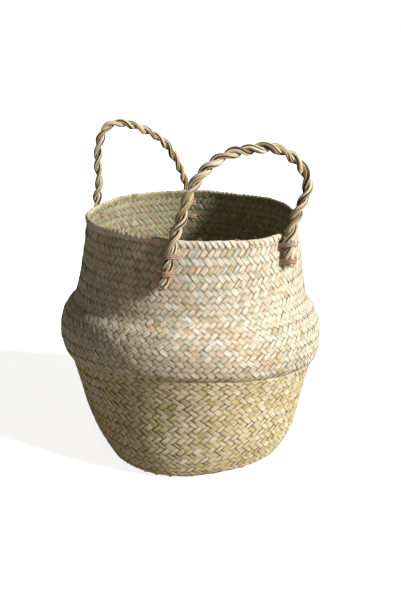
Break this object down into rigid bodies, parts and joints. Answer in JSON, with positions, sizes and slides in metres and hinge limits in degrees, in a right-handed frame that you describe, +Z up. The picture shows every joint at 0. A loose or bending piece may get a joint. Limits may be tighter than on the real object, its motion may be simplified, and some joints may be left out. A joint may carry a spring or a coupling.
{
  "type": "seagrass storage basket",
  "caption": "Woven round basket with a bowl-shaped bottom, a soft folded belly, a narrower neck and upright twisted rope handles on opposite sides.",
  "frame": {"origin": "centre of the underside, where the basket stands", "axes": "+Z up through the mouth; the front handle is centred on -Y and the rear one faces it, turned ten degrees further round"},
  "size_m": [0.27, 0.27, 0.3338],
  "materials": {
    "woven_seagrass_lower": "matte, plaited leaf strands",
    "woven_seagrass_upper": "matte, plaited leaf strands",
    "border_strands": "matte, folded leaf strands",
    "twisted_seagrass_rope": "matte, twisted leaf rope",
    "lashing_thread": "matte, dyed twine"
  },
  "bodies": {
    "root": {"woven_base": "woven_seagrass_lower", "lower_bowl": "woven_seagrass_lower", "upper_bowl": "woven_seagrass_lower", "belly_ring": "woven_seagrass_upper", "shoulder": "woven_seagrass_upper"},
    "neck": {"neck_wall": "woven_seagrass_upper", "rim_border": "border_strands", "front_left_foot_ply_a": "twisted_seagrass_rope", "front_left_foot_ply_b": "twisted_seagrass_rope", "front_right_foot_ply_a": "twisted_seagrass_rope", "front_right_foot_ply_b": "twisted_seagrass_rope", "rear_left_foot_ply_a": "twisted_seagrass_rope", "rear_left_foot_ply_b": "twisted_seagrass_rope", "rear_right_foot_ply_a": "twisted_seagrass_rope", "rear_right_foot_ply_b": "twisted_seagrass_rope", "front_left_bend_ply_a": "twisted_seagrass_rope", "front_left_bend_ply_b": "twisted_seagrass_rope", "front_right_bend_ply_a": "twisted_seagrass_rope", "front_right_bend_ply_b": "twisted_seagrass_rope", "rear_left_bend_ply_a": "twisted_seagrass_rope", "rear_left_bend_ply_b": "twisted_seagrass_rope", "rear_right_bend_ply_a": "twisted_seagrass_rope", "rear_right_bend_ply_b": "twisted_seagrass_rope", "front_left_upper_lashing": "lashing_thread", "front_left_lower_lashing": "lashing_thread", "front_right_upper_lashing": "lashing_thread", "front_right_lower_lashing": "lashing_thread", "rear_left_upper_lashing": "lashing_thread", "rear_left_lower_lashing": "lashing_thread", "rear_right_upper_lashing": "lashing_thread", "rear_right_lower_lashing": "lashing_thread"},
    "front_handle": {"front_handle_bow_ply_a": "twisted_seagrass_rope", "front_handle_bow_ply_b": "twisted_seagrass_rope"},
    "rear_handle": {"rear_handle_bow_ply_a": "twisted_seagrass_rope", "rear_handle_bow_ply_b": "twisted_seagrass_rope"}
  },
  "joints": [
    {"name": "neck_push_down", "type": "slide", "parent": "root", "child": "neck", "axis": [0, 0, -1], "range_m": [0, 0.05], "deforming": ["shoulder"]},
    {"name": "front_handle_swing", "type": "hinge", "parent": "neck", "child": "front_handle", "pos_m": [0, -0.098, 0.2566], "axis": [1, 0, 0], "range_deg": [-80, 120], "deforming": ["front_left_bend_ply_a", "front_left_bend_ply_b", "front_right_bend_ply_a", "front_right_bend_ply_b"]},
    {"name": "rear_handle_swing", "type": "hinge", "parent": "neck", "child": "rear_handle", "pos_m": [-0.01702, 0.09651, 0.2566], "axis": [-0.9848, -0.1736, 0], "range_deg": [-80, 120], "deforming": ["rear_left_bend_ply_a", "rear_left_bend_ply_b", "rear_right_bend_ply_a", "rear_right_bend_ply_b"]}
  ]
}
